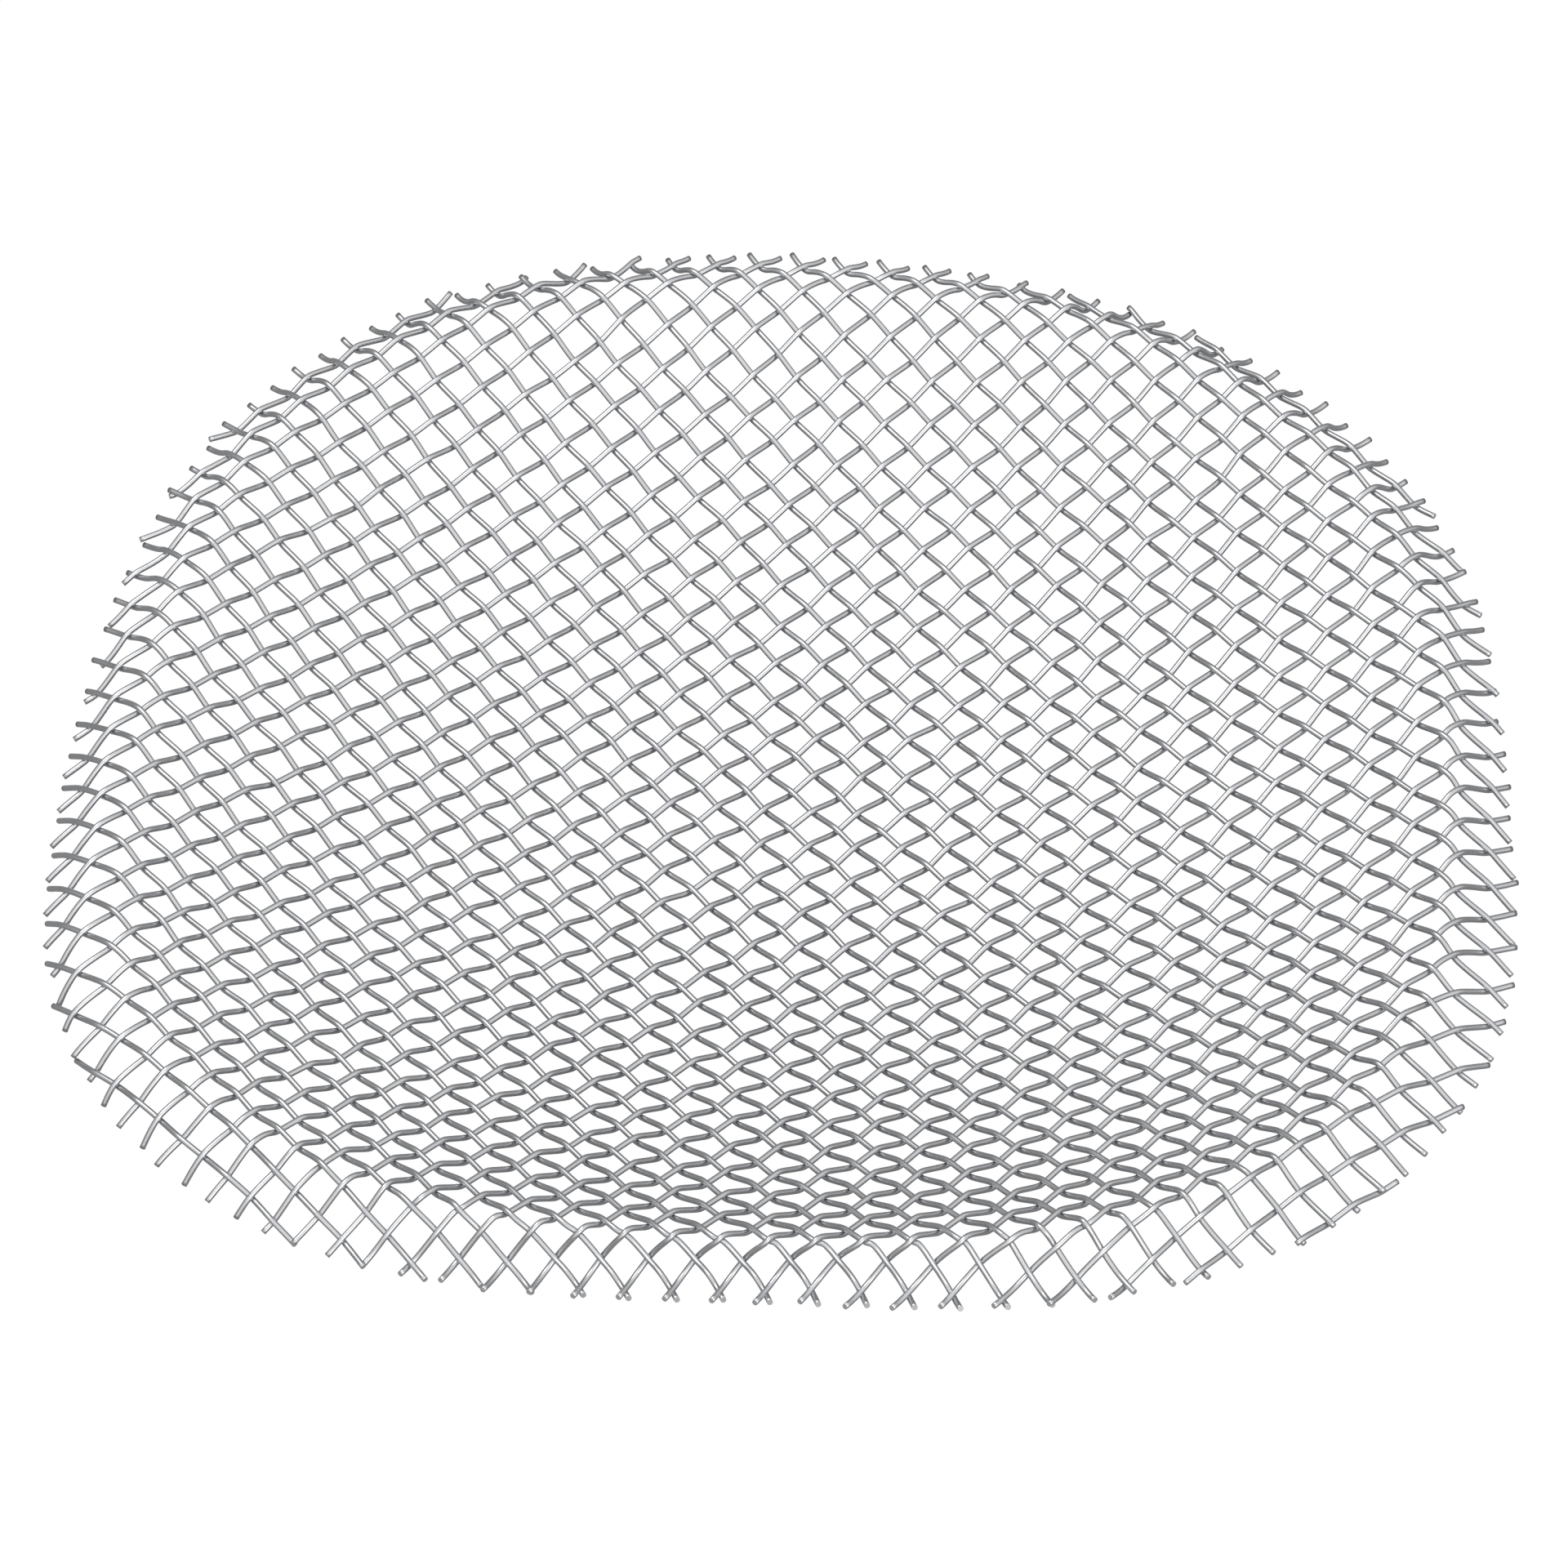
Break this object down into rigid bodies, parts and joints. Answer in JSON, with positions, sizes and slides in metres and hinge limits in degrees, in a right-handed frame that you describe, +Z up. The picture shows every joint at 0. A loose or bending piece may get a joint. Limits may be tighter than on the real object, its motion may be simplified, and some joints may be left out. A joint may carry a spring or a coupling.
{
  "type": "burner mesh",
  "caption": "Round dished wire gauze with a short folded-down rim, plain woven from round wire, that covers the burner of a gas radiant heater.",
  "frame": {"origin": "lowest point of the dish, on its axis", "axes": "+Z up out of the hollow side, +X along the warp wires, +Y along the weft wires"},
  "size_m": [0.1482, 0.1498, 0.0169],
  "materials": {
    "wire": "satin drawn stainless wire"
  },
  "bodies": {
    "root": {"warp_wire_centre": "wire", "warp_wires_01": "wire", "warp_wires_02": "wire", "warp_wires_03": "wire", "warp_wires_04": "wire", "warp_wires_05": "wire", "warp_wires_06": "wire", "warp_wires_07": "wire", "warp_wires_08": "wire", "warp_wires_09": "wire", "warp_wires_10": "wire", "warp_wires_11": "wire", "warp_wires_12": "wire", "warp_wires_13": "wire", "warp_wires_14": "wire", "warp_wires_15": "wire", "warp_wires_16": "wire", "warp_wires_17": "wire", "warp_wires_18": "wire", "warp_wires_19": "wire", "warp_wires_20": "wire", "warp_wires_21": "wire", "warp_wires_22": "wire", "warp_wires_23": "wire", "weft_wire_centre": "wire", "weft_wires_01": "wire", "weft_wires_02": "wire", "weft_wires_03": "wire", "weft_wires_04": "wire", "weft_wires_05": "wire", "weft_wires_06": "wire", "weft_wires_07": "wire", "weft_wires_08": "wire", "weft_wires_09": "wire", "weft_wires_10": "wire", "weft_wires_11": "wire", "weft_wires_12": "wire", "weft_wires_13": "wire", "weft_wires_14": "wire", "weft_wires_15": "wire", "weft_wires_16": "wire", "weft_wires_17": "wire", "weft_wires_18": "wire", "weft_wires_19": "wire", "weft_wires_20": "wire", "weft_wires_21": "wire", "weft_wires_22": "wire", "weft_wires_23": "wire"}
  },
  "joints": []
}
